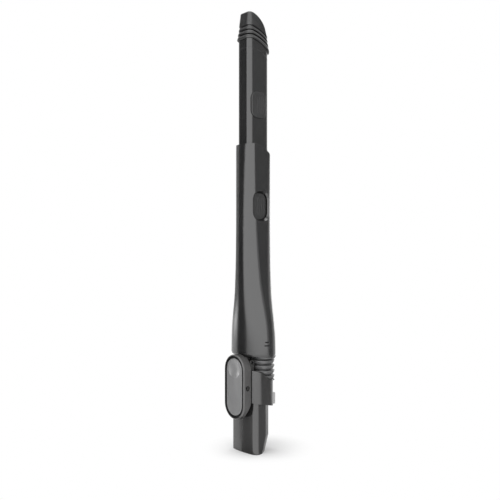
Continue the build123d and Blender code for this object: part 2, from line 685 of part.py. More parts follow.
# Nose sleeve: slanted shell above the seam, a core under the rubber and a tongue in the tube
core_z0 = SEAM_Z - NOSE_TONGUE
core_z1 = TIP_TOP_Z + 5
nose_shell = prism(INNER_W, INNER_D, INNER_R, core_z0, OVER) & under_slant(RIB_BASE_Z)
nose_core = stack([tube_level(core_z0, CORE_LOW), tube_level(core_z1, CORE_HIGH)])
nose_core = nose_core & under_mouth(TIP_TOP_Z - CORE_DROP)
nose_top = nose_shell + nose_core - under_slant(SEAM_Z + RUN)
tongue_z0 = SEAM_Z - SLANT_R + sqrt(SLANT_R**2 - (INNER_W / 2 - SLANT_X) ** 2) - NOSE_TONGUE
nose_tongue = prism(BORE_W - 2 * SEAT, BORE_D - 2 * SEAT, BORE_R - SEAT, tongue_z0, OVER)
nose_tongue = nose_tongue & under_slant(SEAM_Z + 2)
bore_low = tube_level(tongue_z0 - 1, CORE_LOW - NOSE_WALL)
bore_high = tube_level(core_z1, CORE_HIGH - NOSE_WALL)
nose_bore = stack([bore_low, bore_high])
nodes["nose_sleeve"] = nose_top + nose_tongue - nose_bore

# Rubber tip: stepped slanting ribs under a smooth cap with an open mouth
tip = None
for rib in range(RIB_COUNT):
    z0 = RIB_BASE_Z + SEAT + rib * RIB_PITCH
    rib_out = RIB_OUT - rib * RIB_STEP
    rings = [(z0 + n * RIB_H / RIB_STEPS, RIB_H / RIB_STEPS, rib_out - n * RIB_TAPER / RIB_STEPS)
             for n in range(RIB_STEPS)]
    rings.append((z0 + RIB_H, RIB_PITCH - RIB_H, -GROOVE_IN))
    for low, height, out in rings:
        bar = prism(INNER_W + 2 * out, INNER_D + 2 * out, INNER_R + out, core_z0, OVER)
        ring = (bar & under_slant(low + height + RUN)) - under_slant(low)
        tip = ring if tip is None else tip + ring
cap_z0 = RIB_BASE_Z + SEAT + RIB_COUNT * RIB_PITCH
cap_drop = INNER_W / 2 * sin(radians(CAP_TILT_LOW))
cap = loft([
    tilted_level(cap_z0 - cap_drop, CAP_OUT, CAP_TILT_LOW),
    tilted_level(TIP_TOP_Z - MOUTH_R / 2 + CAP_SPARE, -CAP_IN, CAP_TILT_HIGH),
], ruled=True)
cap = (cap & under_mouth(TIP_TOP_Z)) - under_slant(cap_z0)
core_room = stack([tube_level(core_z0, CORE_LOW + CORE_GAP), tube_level(core_z1, CORE_HIGH + CORE_GAP)])
core_room = core_room & under_mouth(TIP_TOP_Z - CORE_DROP + CORE_GAP)
nodes["rubber_tip"] = tip + cap - core_room - nose_bore

# Latch housing with its pocket, pin holes, sloping lower back and a step under the outer tube
housing = stadium_x(HOUSING_W, HOUSING_H, HOUSING_X0, HOUSING_X1, LATCH_Z)
housing = fillet(housing.faces().sort_by(Axis.X)[0].edges(), HOUSING_EDGE)
bezel_w = PADDLE_W + 2 * (PADDLE_GAP + BEZEL_W)
bezel_h = PADDLE_H + 2 * (PADDLE_GAP + BEZEL_W)
bezel_x1 = BEZEL_X0 + BEZEL_T
pocket_w = bezel_w - 2 * POCKET_LEDGE
pocket_h = bezel_h - 2 * POCKET_LEDGE
housing = housing - stadium_x(bezel_w + 2 * RUN, bezel_h + 2 * RUN, HOUSING_X0 - 1, bezel_x1 + RUN, LATCH_Z)
housing = housing - stadium_x(pocket_w, pocket_h, HOUSING_X0, PADDLE_X1 + SIDE_GAP, LATCH_Z)
deep = stadium_x(pocket_w, pocket_h, HOUSING_X0, POCKET_X1, LATCH_Z)
deep = deep - block(HOUSING_X0 - 1, 0, -HOUSING_W, HOUSING_W, 0, LATCH_Z - POCKET_LOW)
housing = housing - deep
housing = housing - rod_y(LATCH_PIN_X, LATCH_Z, LATCH_PIN_R + PIN_PRESS, -HOUSING_W, HOUSING_W)
for side in (-1, 1):
    y = side * HOUSING_W / 2
    housing = housing - rod_y(LATCH_PIN_X, LATCH_Z, PIN_RECESS_R, y - PIN_RECESS, y + PIN_RECESS)
back_x = HOUSING_X0 + BACK_CUT_DEPTH
back_z = COLLAR_FRONT_Z - SEAT
back_line = Polyline((0, back_z), (HOUSING_X1, back_z), (back_x, LATCH_Z - BACK_CUT_DROP), (back_x, 0),
                     (0, 0), close=True)
housing = housing - side_region(back_line)
step_z = BELLOWS_TOP - SIDE_GAP
housing = housing - block(HOUSING_X0 + STEP_DEPTH, 0, -HOUSING_W, HOUSING_W, step_z, OUTER_TOP_Z)
hook_z0 = LATCH_Z - PADDLE_H / 2 + HOOK_RISE
hook_half = HOOK_HALF + HOOK_ROOM
housing = housing - block(BEZEL_X0 + BEZEL_T - SEAT, 0, -hook_half, hook_half, hook_z0 - HOOK_ROOM,
                          hook_z0 + HOOK_H + HOOK_ROOM)
pin_half = HOUSING_W / 2 - PIN_RECESS
nodes["latch_pin"] = rod_y(LATCH_PIN_X, LATCH_Z, LATCH_PIN_R, -pin_half, pin_half)

# Screws that hold the housing to the collar
housing_screws = []
for rise in HOUSING_SCREW_RISES:
    spot = Pos(POCKET_X1, 0, LATCH_Z + rise) * Rot(0, -90, 0)
    head_r = 1.9 * HOUSING_SCREW_R
    housing_screws.append(spot * screw(HOUSING_SCREW_R, HOUSING_SCREW_L, head_r, HOUSING_SCREW_R))
    hole = spot * screw_hole(HOUSING_SCREW_R, HOUSING_SCREW_L)
    housing = housing - hole
    collar = collar - hole
nodes["housing_screws"] = Compound(housing_screws)
nodes["latch_housing"] = housing
nodes["collar"] = collar

# Bezel ring round the paddle
bezel = stadium_x(bezel_w, bezel_h, BEZEL_X0, bezel_x1, LATCH_Z)
nodes["latch_bezel"] = bezel - stadium_x(bezel_w - 2 * BEZEL_W, bezel_h - 2 * BEZEL_W, HOUSING_X0, 0, LATCH_Z)

# Rocking paddle with a finger dimple, a pin boss and a hook
paddle = stadium_x(PADDLE_W, PADDLE_H, PADDLE_X0, PADDLE_X1, LATCH_Z)
paddle = fillet(paddle.faces().sort_by(Axis.X)[0].edges(), PADDLE_EDGE)
boss_half = PADDLE_W / 2 - BOSS_END
web_x0 = PADDLE_X1 - PADDLE_EDGE
boss = rod_y(LATCH_PIN_X, LATCH_Z, BOSS_R, -boss_half, boss_half)
boss = boss + block(web_x0, LATCH_PIN_X, -boss_half, boss_half, LATCH_Z - BOSS_R, LATCH_Z + BOSS_R)
boss = boss - rod_y(LATCH_PIN_X, LATCH_Z, LATCH_PIN_R + RUN, -HOUSING_W, HOUSING_W)
hook = block(web_x0, POCKET_X1, -HOOK_HALF, HOOK_HALF, hook_z0, hook_z0 + HOOK_H)
ball_r = (DIMPLE_R**2 + DIMPLE_DEPTH**2) / (2 * DIMPLE_DEPTH)
dimple = Pos(PADDLE_X0 + DIMPLE_DEPTH - ball_r, 0, LATCH_Z + DIMPLE_RISE) * Rot(0, 0, 180) * Sphere(ball_r)
nodes["latch_paddle"] = paddle + boss + hook - dimple
latch_coil = coil(POCKET_X1 - PADDLE_X1 - 2 * RUN)
nodes["latch_spring"] = Pos(PADDLE_X1 + RUN, 0, LATCH_Z + LATCH_SPRING_RISE) * Rot(0, 90, 0) * latch_coil

print("least gap between spring turns", round(SPRING_PITCH - 2 * WIRE_R, 2))

os.makedirs("parts", exist_ok=True)
for name, shape in nodes.items():
    export_step(shape, "parts/" + name + ".step")
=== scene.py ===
import json
from math import cos, pi, radians, sin, sqrt

import bpy
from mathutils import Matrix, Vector


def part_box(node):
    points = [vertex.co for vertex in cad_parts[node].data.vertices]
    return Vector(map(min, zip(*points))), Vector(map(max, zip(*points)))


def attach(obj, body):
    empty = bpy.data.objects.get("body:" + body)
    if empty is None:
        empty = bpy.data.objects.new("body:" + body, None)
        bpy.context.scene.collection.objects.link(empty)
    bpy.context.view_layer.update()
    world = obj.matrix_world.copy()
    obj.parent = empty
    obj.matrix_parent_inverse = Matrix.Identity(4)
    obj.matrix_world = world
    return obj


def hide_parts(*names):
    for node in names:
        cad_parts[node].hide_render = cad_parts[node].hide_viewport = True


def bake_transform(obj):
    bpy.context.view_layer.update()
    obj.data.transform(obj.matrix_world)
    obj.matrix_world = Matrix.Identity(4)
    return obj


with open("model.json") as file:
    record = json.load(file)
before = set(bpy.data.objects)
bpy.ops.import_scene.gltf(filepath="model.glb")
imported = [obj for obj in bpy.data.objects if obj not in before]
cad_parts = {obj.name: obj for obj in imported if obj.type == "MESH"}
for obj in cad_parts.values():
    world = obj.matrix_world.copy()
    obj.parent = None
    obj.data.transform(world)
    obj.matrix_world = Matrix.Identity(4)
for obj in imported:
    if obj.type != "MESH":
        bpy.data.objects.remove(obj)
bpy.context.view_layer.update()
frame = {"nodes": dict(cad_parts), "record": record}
nodes = frame["nodes"]
MM = 0.001

# Camera, metres: level, at mid height, facing the corner between the latch side and the button side
VIEW_ANGLE = radians(40)
DISTANCE = 0.735
EYE_HEIGHT = 0.2083
SIDE_STEP = 0.0033
LENS = 50.6
SENSOR_WIDTH = 36
CLIP_START = 0.01

# White surround, and a floor that fades to white round the contact shadow, metres; the fade is painted,
# round a centre set off the part's axis, and gives the shadow a painted outer edge
FILL_STRENGTH = 0.45
FLOOR_HALF = 3.0
FLOOR_GREY = 0.80
FLOOR_GLOW = 0.01
SHADOW_CENTRE = (0.010, 0.002, 0)
SHADOW_CORE = 0.018
SHADOW_EDGE = 0.062

# Lamps, metres
LAMP_TARGET = (0, 0, 0.2)

# Cards that only reflections see, for painted dark, grey and bright reflections that cast no light, metres,
# with the azimuths of their two sides in degrees
CARD_LIFT = 0.0005
CARD_TOP = 0.9
RIGHT_CARD_TOP = 0.68
BACK_CARD_BASE = 0.11
LEFT_REACH = 0.53
RIGHT_REACH = 0.55
BACK_REACH = 0.6
FRONT_REACH = 0.6
LEFT_SIDES = (154, 118)
RIGHT_SIDES = (282, 328)
BACK_SIDES = (118, 48)
FRONT_SIDES = (156, 280)
# Glowing fan in front, seen only in reflections: a painted bright reflection
REFLECTION_FAN_STEPS = 8
REFLECTION_FAN_GLOW = 1.6

# Floor spots (x, y) at the plug's faces and where the strips on the floor end, which paint darker floor
# reflections, metres
PLUG_LEFT = ((-0.0128, -0.018), (-0.015, 0.0))
PLUG_FRONT = ((-0.0140, -0.0196), (-0.0085, -0.0208))
PLUG_RIGHT = ((-0.0074, -0.0196), (0.001, -0.019))
PLUG_REAR = ((0.001, -0.019), (0.0125, -0.010))
LEFT_END = ((-0.203, 0.092), (-0.144, 0.178))
RIGHT_END = ((0.103, -0.210), (0.208, -0.094))
REAR_END = ((0.208, -0.094), (0.220, 0.060))

# What all surfaces share: slow clouds of tone and gloss, fine grain, edges painted lighter (partly wear,
# partly a painted highlight), painted shade in hollows
CLOUD_SCALE = 38.0
CLOUD_DETAIL = 5.0
CLOUD_STRETCH = (1, 1, 0.35)
TONE_BAND = (0.32, 0.68)
GLOSS_BAND = (0.3, 0.7)
GLOSS_CHANGE = (0.90, 1.12)
GRAIN_DETAIL = 3.0
GRAIN_DEPTH = 0.0001
# Edge band and most share of the lighter edge colour, partly wear and partly a painted highlight
WEAR_AND_HIGHLIGHT_BAND = (0.99, 0.80)
WEAR_AND_HIGHLIGHT_MOST = 0.55
# Painted shade: how dark the colour gets in hollows, as a share of it
HOLLOW_SHADE_TONE = 0.1
SHADE_SAMPLES = 6

# Surfaces by name: colour, roughness and what differs from the usual moulded plastic
# Each surface's edge gain lightens its edges, partly as wear and partly as a painted highlight; its shade
# reach sets how far painted shade in hollows goes
SURFACES = {
    "tube_plastic": dict(colour=(0.013, 0.013, 0.0132), rough=0.19, edge=0.0004, wear_and_highlight_gain=8.0, specular=0.8),
    "button_plastic": dict(
        colour=(0.022, 0.022, 0.0222), rough=0.24, edge=0.0002, specular=0.8, shade_reach=0.0003
    ),
    "body_plastic": dict(colour=(0.019, 0.0183, 0.018), rough=0.22, wear_and_highlight_gain=5.0, specular=1.0),
    # The housing's wide reach paints shade on its top under the tube's foot
    "housing_plastic": dict(colour=(0.080, 0.0786, 0.078), rough=0.30, wear_and_highlight_gain=1.0, specular=0.6, shade_reach=0.016),
    "paddle_plastic": dict(colour=(0.185, 0.185, 0.1865), rough=0.25, wear_and_highlight_gain=2.2, specular=0.7, shade_reach=0.004),
    "trim_plastic": dict(colour=(0.004, 0.004, 0.0042), rough=0.40, specular=0.2),
    "catch_plastic": dict(colour=(0.46, 0.46, 0.46), rough=0.45),
    "inner_plastic": dict(colour=(0.05, 0.05, 0.051), rough=0.55),
    "neck_rubber": dict(
        colour=(0.11, 0.11, 0.1115), rough=0.36, grain=2200.0, bump=0.2, specular=0.7, shade_reach=0.003
    ),
    "tip_rubber": dict(
        colour=(0.012, 0.012, 0.0122), rough=0.30, grain=900.0, bump=0.3, wear_and_highlight_gain=3.0,
        stretch=(0.25, 0.25, 1.6), specular=0.8
    ),
    "felt": dict(colour=(0.05, 0.05, 0.05), rough=0.95, grain=3000.0, bump=0.8, sheen=0.4),
    "steel": dict(colour=(0.55, 0.55, 0.56), rough=0.32, grain=900.0, stretch=(1, 1, 6), metallic=1.0),
    "black_steel": dict(colour=(0.03, 0.03, 0.031), rough=0.4, grain=900.0, stretch=(1, 1, 6), metallic=1.0),
}

# Pieces with a surface of their own in place of their slot's
NODE_SURFACES = {
    "latch_housing": "housing_plastic",
    "extend_button": "button_plastic",
    "retract_button": "button_plastic",
}

# Steps round a rounded rectangle
CORNER_STEPS = 12
SIDE_STEPS = 18

# Slanted tip, millimetres, heights at its high side
INNER_HALF_W = 13.8
INNER_HALF_D = 10.4
INNER_R = 5.7
SLANT_R = 45.0
SLANT_X = -16.0
RIB_BASE_Z = 426.2
TIP_TOP_Z = 454.1
MOUTH_R = 22.5
MOUTH_X = -12.0
MOUTH_REACH = 20.9
MOUTH_FALL = 2.4
BASE_GAP = 0.2
BASE_IN = -2.7
RIB_PITCH = 4.6
RIB_OUT = (1.8, 1.0, 0.2)
GROOVE_OUT = -2.0
CAP_RISE = BASE_GAP + len(RIB_OUT) * RIB_PITCH

# One rib going up as (rise, step from its crest), and the groove over it as (rise, step from its floor)
RIB_TOOTH = ((0.02, -0.25), (0.1, -0.08), (0.3, 0.0), (0.8, -0.03), (2.0, -0.4), (2.8, -0.7), (3.0, -0.95))
RIB_GROOVE = ((3.15, 0.1), (3.4, 0.0), (4.45, 0.0))

# Cap's lower edge as (share of the way to the mouth, outward step), and its lip as (drop, outward step)
CAP_EDGE = ((0.0, GROOVE_OUT + 0.1), (0.004, -0.5), (0.015, -0.35))
CAP_LIP = (
    (0.25, -2.15), (0.05, -2.35), (0.0, -2.7), (0.0, -3.9),
    (0.3, -4.5), (0.9, -4.8), (2.2, -4.9), (2.2, -3.4),
)
CAP_OUT = -0.3
CAP_TAPER = 1.7
CAP_LINES = 12
CAP_LINE_STEPS = 4
CAP_LINE_DEPTH = 0.2
CAP_LINE_START = 0.03
CAP_LINE_SPAN = 0.92

# Bellows, millimetres
BELLOWS_X0 = -8.2
BELLOWS_X1 = 16.5
BELLOWS_HALF_D = 21.8
BELLOWS_R = 11.0
BELLOWS_TOP = 99.1
BELLOWS_LIP = 3.4
CUFF_OUT = 3.4
CUFF_EDGE = 0.5
BELLOWS_PITCH = 5.35
BELLOWS_RIBS = 5
BELLOWS_DEPTH = 3.2
BELLOWS_WALL = 1.2
BARB_POWER = 0.45
CREST_LOW = 4.2
CREST_HIGH = 4.6
BARB_STEPS = 26
INSIDE_STEPS = 20

# Collar's S-shaped edge, which the bellows stands on, millimetres
COLLAR_HIGH = 85.6
COLLAR_LOW = 73.8
COLLAR_GAP = 0.2
CURVE_X0 = -16.0
CURVE_X1 = 11.0
CURVE_PULL = 0.4
CURVE_HALVINGS = 40

# Springs, metres
WIRE_R = 0.0003
SPRING_PITCH = 0.00125
TURN_STEPS = 24
WIRE_SIDES = 8


def add_camera():
    """Level camera turned by the view angle, a little to the left of the part's axis."""
    ahead = Vector((sin(VIEW_ANGLE), cos(VIEW_ANGLE), 0))
    right = Vector((cos(VIEW_ANGLE), -sin(VIEW_ANGLE), 0))
    data = bpy.data.cameras.new("view_camera")
    data.lens = LENS
    data.sensor_width = SENSOR_WIDTH
    data.clip_start = CLIP_START
    camera = bpy.data.objects.new("view_camera", data)
    camera.location = -DISTANCE * ahead - SIDE_STEP * right + Vector((0, 0, EYE_HEIGHT))
    camera.rotation_euler = (radians(90), 0, -VIEW_ANGLE)
    bpy.context.scene.collection.objects.link(camera)
    bpy.context.scene.camera = camera


def add_area(name, place, target, width, height, power):
    """Soft box that points at a target, in metres and watts."""
    data = bpy.data.lights.new(name, "AREA")
    data.shape = "RECTANGLE"
    data.size = width
    data.size_y = height
    data.energy = power
    lamp = bpy.data.objects.new(name, data)
    lamp.visible_camera = False
    lamp.location = place
    aim = Vector(target) - Vector(place)
    lamp.rotation_euler = aim.to_track_quat("-Z", "Y").to_euler()
    bpy.context.scene.collection.objects.link(lamp)


def add_lamps():
    """One wide soft box on the camera's side, two narrow rim boxes and a top box."""
    add_area("front_box", (-0.645, -0.173, 0.5), (-0.150, 0.200, 0.5), width=1.96, height=1.0, power=9.0)
    add_area("left_rim", (-0.35, 1.05, 0.40), LAMP_TARGET, width=0.5, height=1.0, power=4.0)
    add_area("right_rim", (1.0, 0.35, 0.5), LAMP_TARGET, width=0.4, height=1.0, power=3.0)
    add_area("top_box", (0.1, 0.1, 1.3), LAMP_TARGET, width=0.9, height=0.9, power=6.0)


def add_node(tree, kind, values=()):
    """Shader node with some of its inputs set, from (input, value) pairs."""
    node = tree.nodes.new("ShaderNode" + kind)
    for name, value in values:
        node.inputs[name].default_value = value
    return node


def grey_tone(level):
    """Opaque grey."""
    return (level, level, level, 1)


def seen_or_mirrored(tree):
    """Output that is 1 for camera, glossy and transmission rays."""
    path = add_node(tree, "LightPath")
    total = path.outputs["Is Camera Ray"]
    for name in ("Is Glossy Ray", "Is Transmission Ray"):
        larger = add_node(tree, "Math")
        larger.operation = "MAXIMUM"
        tree.links.new(total, larger.inputs[0])
        tree.links.new(path.outputs[name], larger.inputs[1])
        total = larger.outputs[0]
    return total


def mix_shaders(tree, factor, first, second):
    """Shader that goes from the first to the second as the factor rises."""
    mix = add_node(tree, "MixShader")
    tree.links.new(factor, mix.inputs[0])
    tree.links.new(first.outputs[0], mix.inputs[1])
    tree.links.new(second.outputs[0], mix.inputs[2])
    return mix


def add_world():
    """White surround, with a plain grey level for lighting."""
    world = bpy.data.worlds.new("studio")
    world.use_nodes = True
    tree = world.node_tree
    tree.nodes.clear()
    shown = add_node(tree, "Background", [("Color", grey_tone(1)), ("Strength", 1.0)])
    fill = add_node(tree, "Background", [("Color", grey_tone(1)), ("Strength", FILL_STRENGTH)])
    mix = mix_shaders(tree, seen_or_mirrored(tree), fill, shown)
    out = add_node(tree, "OutputWorld")
    tree.links.new(mix.outputs[0], out.inputs["Surface"])
    bpy.context.scene.world = world


def add_mesh(name, points, faces, material, smooth=False):
    """Object with a mesh of one material."""
    mesh = bpy.data.meshes.new(name)
    mesh.from_pydata(points, [], faces)
    mesh.polygons.foreach_set("use_smooth", [smooth] * len(mesh.polygons))
    mesh.materials.append(material)
    piece = bpy.data.objects.new(name, mesh)
    bpy.context.scene.collection.objects.link(piece)
    return piece


def floor_material():
    """Pale floor in its own shadow near the part, painted plain white further out, which gives the shadow a
    painted outer edge.
    """
    material = bpy.data.materials.new("pale_floor")
    material.use_nodes = True
    tree = material.node_tree
    tree.nodes.clear()
    paint = add_node(tree, "BsdfDiffuse", [("Color", grey_tone(FLOOR_GREY))])
    glow = add_node(tree, "Emission", [("Strength", FLOOR_GLOW)])
    white = add_node(tree, "Emission")
    both = add_node(tree, "AddShader")
    tree.links.new(paint.outputs[0], both.inputs[0])
    tree.links.new(glow.outputs[0], both.inputs[1])
    place = add_node(tree, "TexCoord")
    # Painted shadow edge: the fade to white is measured from a centre set off the part's axis
    from_shadow = add_node(tree, "VectorMath", [(1, SHADOW_CENTRE)])
    from_shadow.operation = "SUBTRACT"
    tree.links.new(place.outputs["Object"], from_shadow.inputs[0])
    reach = add_node(tree, "VectorMath")
    reach.operation = "LENGTH"
    tree.links.new(from_shadow.outputs["Vector"], reach.inputs[0])
    fade = add_node(tree, "MapRange", [("From Min", SHADOW_CORE), ("From Max", SHADOW_EDGE)])
    fade.interpolation_type = "SMOOTHSTEP"
    tree.links.new(reach.outputs["Value"], fade.inputs["Value"])
    shown = mix_shaders(tree, fade.outputs["Result"], both, white)
    mix = mix_shaders(tree, seen_or_mirrored(tree), paint, shown)
    out = add_node(tree, "OutputMaterial")
    tree.links.new(mix.outputs[0], out.inputs["Surface"])
    return material


def add_floor():
    """Wide floor that keeps the contact shadow."""
    corners = [(sx * FLOOR_HALF, sy * FLOOR_HALF, 0) for sx, sy in ((-1, -1), (1, -1), (1, 1), (-1, 1))]
    floor = add_mesh("floor", corners, [(0, 1, 2, 3)], floor_material())


def add_card(name, rows, grey, glow=0.0):
    """Card seen only in reflections, a painted reflection that casts no light, grey or glowing, from rows of
    two (x, y, z) points each.
    """
    material = bpy.data.materials.new(name)
    material.use_nodes = True
    shader = material.node_tree.nodes["Principled BSDF"]
    shader.inputs["Base Color"].default_value = grey_tone(grey)
    shader.inputs["Emission Color"].default_value = grey_tone(1)
    shader.inputs["Emission Strength"].default_value = glow
    shader.inputs["Roughness"].default_value = 1.0
    shader.inputs["Specular IOR Level"].default_value = 0.0
    points = [point for row in rows for point in row]
    faces = [(2 * n, 2 * n + 1, 2 * n + 3, 2 * n + 2) for n in range(len(rows) - 1)]
    card = add_mesh(name, points, faces, material)
    card.visible_camera = False
    card.visible_diffuse = False
    card.visible_shadow = False


def on_floor(spots):
    """Row of points just over the floor."""
    return [(x, y, CARD_LIFT) for x, y in spots]


def from_axis(azimuth, reach, z):
    """Point at an azimuth and a distance from the part's axis."""
    turn = radians(azimuth)
    return (reach * cos(turn), reach * sin(turn), z)


def round_axis(sides, reach, z):
    """Row of points at two azimuths and one distance from the part's axis."""
    return [from_axis(azimuth, reach, z) for azimuth in sides]


def add_cards():
    """Painted reflections: dark cards left and right with tapering strips on the floor, a grey one behind, a
    glowing fan in front.
    """
    add_card("left_strip", [on_floor(PLUG_LEFT), on_floor(LEFT_END)], grey=0.22)
    add_card("left_card", [
        on_floor(LEFT_END),
        round_axis(LEFT_SIDES, LEFT_REACH, CARD_LIFT),
        round_axis(LEFT_SIDES, LEFT_REACH, CARD_TOP),
    ], grey=0.02)
    add_card("right_card", [
        on_floor(PLUG_RIGHT),
        on_floor(RIGHT_END),
        round_axis(RIGHT_SIDES, RIGHT_REACH, CARD_LIFT),
        round_axis(RIGHT_SIDES, RIGHT_REACH, RIGHT_CARD_TOP),
    ], grey=0.35)
    add_card("back_card", [
        round_axis(BACK_SIDES, BACK_REACH, BACK_CARD_BASE),
        round_axis(BACK_SIDES, BACK_REACH, CARD_TOP),
    ], grey=0.45)
    add_card("rear_strip", [on_floor(PLUG_REAR), on_floor(REAR_END)], grey=0.30)
    # Glowing fan lying in front of the part: a painted bright reflection, no lamp
    first, last = [Vector(point) for point in on_floor(PLUG_FRONT)]
    fan = []
    for n in range(REFLECTION_FAN_STEPS + 1):
        share = n / REFLECTION_FAN_STEPS
        azimuth = FRONT_SIDES[0] + (FRONT_SIDES[1] - FRONT_SIDES[0]) * share
        fan.append([first.lerp(last, share), from_axis(azimuth, FRONT_REACH, CARD_LIFT)])
    add_card("front_painted_reflection", fan, grey=0.0, glow=REFLECTION_FAN_GLOW)


def noise(tree, coords, scale, detail, stretch):
    """Noise output over the part's own coordinates."""
    mapping = add_node(tree, "Mapping", [("Scale", stretch)])
    tree.links.new(coords, mapping.inputs["Vector"])
    texture = add_node(tree, "TexNoise", [("Scale", scale), ("Detail", detail)])
    tree.links.new(mapping.outputs[0], texture.inputs["Vector"])
    return texture.outputs["Fac"]


def remap(tree, value, band, low, high):
    """Output that goes from low to high as a value crosses a band."""
    ends = [("From Min", band[0]), ("From Max", band[1]), ("To Min", low), ("To Max", high)]
    node = add_node(tree, "MapRange", ends)
    tree.links.new(value, node.inputs["Value"])
    return node.outputs["Result"]


def tone(colour, factor):
    """Opaque colour, lighter or darker by a factor."""
    return [min(c * factor, 1) for c in colour] + [1]


def mix_colours(tree, factor):
    """Mix of two colours, A and B, by a factor."""
    mix = add_node(tree, "Mix")
    mix.data_type = "RGBA"
    tree.links.new(factor, mix.inputs["Factor"])
    return mix


def cloudy_tone(tree, cloud, colour, vary):
    """Colour output that varies slowly about a colour."""
    ramp = add_node(tree, "ValToRGB")
    for stop, position, factor in zip(ramp.color_ramp.elements, TONE_BAND, (1 - vary, 1 + vary)):
        stop.position = position
        stop.color = tone(colour, factor)
    tree.links.new(cloud, ramp.inputs[0])
    return ramp.outputs["Color"]


def wear_and_highlight_edges(tree, paint, soft_normal, wear_and_highlight_tone):
    """Colour output that is lighter at edges, where the softened normal turns from the flat one: partly edge
    wear, partly a painted highlight.
    """
    flat = add_node(tree, "NewGeometry")
    turn = add_node(tree, "VectorMath")
    turn.operation = "DOT_PRODUCT"
    tree.links.new(soft_normal, turn.inputs[0])
    tree.links.new(flat.outputs["Normal"], turn.inputs[1])
    wear_and_highlight_mask = remap(tree, turn.outputs["Value"], WEAR_AND_HIGHLIGHT_BAND, 0.0, WEAR_AND_HIGHLIGHT_MOST)
    mix = mix_colours(tree, wear_and_highlight_mask)
    mix.inputs["B"].default_value = wear_and_highlight_tone
    tree.links.new(paint, mix.inputs["A"])
    return mix.outputs["Result"]


def painted_hollow_shade(tree, paint, shade_reach, shade_tone):
    """Colour output with painted shade: darker in hollows and under overhangs, up to a size."""
    open_air = add_node(tree, "AmbientOcclusion", [("Distance", shade_reach)])
    open_air.samples = SHADE_SAMPLES
    mix = mix_colours(tree, open_air.outputs["AO"])
    mix.inputs["A"].default_value = shade_tone
    tree.links.new(paint, mix.inputs["B"])
    return mix.outputs["Result"]


def surface(name, colour, rough, grain=1400.0, bump=0.12, vary=0.14, edge=0.0005, wear_and_highlight_gain=1.5,
            stretch=(1, 1, 1), metallic=0.0, specular=0.5, sheen=0.0, shade_reach=0.002):
    """Moulded or worked surface: tone and gloss variation, fine grain, lighter edges that are partly wear
    and partly a painted highlight, and painted shade in hollows.
    """
    material = bpy.data.materials.new(name)
    material.use_nodes = True
    tree = material.node_tree
    shader = tree.nodes["Principled BSDF"]
    shader.inputs["Metallic"].default_value = metallic
    shader.inputs["Specular IOR Level"].default_value = specular
    shader.inputs["Sheen Weight"].default_value = sheen
    coords = add_node(tree, "TexCoord").outputs["Object"]
    cloud = noise(tree, coords, CLOUD_SCALE, CLOUD_DETAIL, CLOUD_STRETCH)
    fine = noise(tree, coords, grain, GRAIN_DETAIL, stretch)
    soft_edge = add_node(tree, "Bevel", [("Radius", edge)])
    soft_edge.samples = SHADE_SAMPLES
    paint = cloudy_tone(tree, cloud, colour, vary)
    # Edges painted lighter: partly wear, partly a painted highlight
    paint = wear_and_highlight_edges(tree, paint, soft_edge.outputs[0], tone(colour, wear_and_highlight_gain))
    # Painted shade in hollows and under overhangs
    paint = painted_hollow_shade(tree, paint, shade_reach, tone(colour, HOLLOW_SHADE_TONE))
    tree.links.new(paint, shader.inputs["Base Color"])
    gloss = remap(tree, cloud, GLOSS_BAND, rough * GLOSS_CHANGE[0], rough * GLOSS_CHANGE[1])
    tree.links.new(gloss, shader.inputs["Roughness"])
    relief = add_node(tree, "Bump", [("Strength", bump), ("Distance", GRAIN_DEPTH)])
    tree.links.new(fine, relief.inputs["Height"])
    tree.links.new(soft_edge.outputs[0], relief.inputs["Normal"])
    tree.links.new(relief.outputs["Normal"], shader.inputs["Normal"])
    return material


def paint_node(name, material):
    """Gives a solid one material."""
    mesh = nodes[name].data
    mesh.materials.clear()
    mesh.materials.append(material)
    for face in mesh.polygons:
        face.material_index = 0


def outline(half_w, half_d, radius):
    """Points round a rounded rectangle, the same count at every size."""
    arcs = []
    for quarter, (sx, sy) in enumerate(((1, 1), (-1, 1), (-1, -1), (1, -1))):
        arc = []
        for n in range(CORNER_STEPS + 1):
            angle = (quarter + n / CORNER_STEPS) * pi / 2
            x = sx * (half_w - radius) + radius * cos(angle)
            y = sy * (half_d - radius) + radius * sin(angle)
            arc.append((x, y))
        arcs.append(arc)
    ring = []
    for quarter, arc in enumerate(arcs):
        x0, y0 = arc[-1]
        x1, y1 = arcs[(quarter + 1) % len(arcs)][0]
        ring.extend(arc)
        for n in range(1, SIDE_STEPS):
            share = n / SIDE_STEPS
            ring.append((x0 + (x1 - x0) * share, y0 + (y1 - y0) * share))
    return ring


def closed_rows(name, rows, material):
    """Closed ring-shaped mesh from rows of points in millimetres, joined last to first."""
    count = len(rows[0])
    points = [(x * MM, y * MM, z * MM) for row in rows for x, y, z in row]
    faces = []
    for r in range(len(rows)):
        after = (r + 1) % len(rows)
        for n in range(count):
            m = (n + 1) % count
            faces.append((r * count + n, r * count + m, after * count + m, after * count + n))
    return add_mesh(name, points, faces, material, smooth=True)


def arc_drop(x, x_flat, radius, reach):
    """How far an arc that starts level at x_flat has fallen at x, up to its reach."""
    run = min(max(x - x_flat, 0.0), reach)
    return radius - sqrt(radius**2 - run**2)


def slant(x):
    """Height of the tip's slanted base at x."""
    return RIB_BASE_Z - arc_drop(x, SLANT_X, SLANT_R, SLANT_R)


def mouth(x):
    """Height of the tip's open mouth at x."""
    beyond = max(x - MOUTH_X - MOUTH_REACH, 0.0)
    return TIP_TOP_Z - arc_drop(x, MOUTH_X, MOUTH_R, MOUTH_REACH) - MOUTH_FALL * beyond


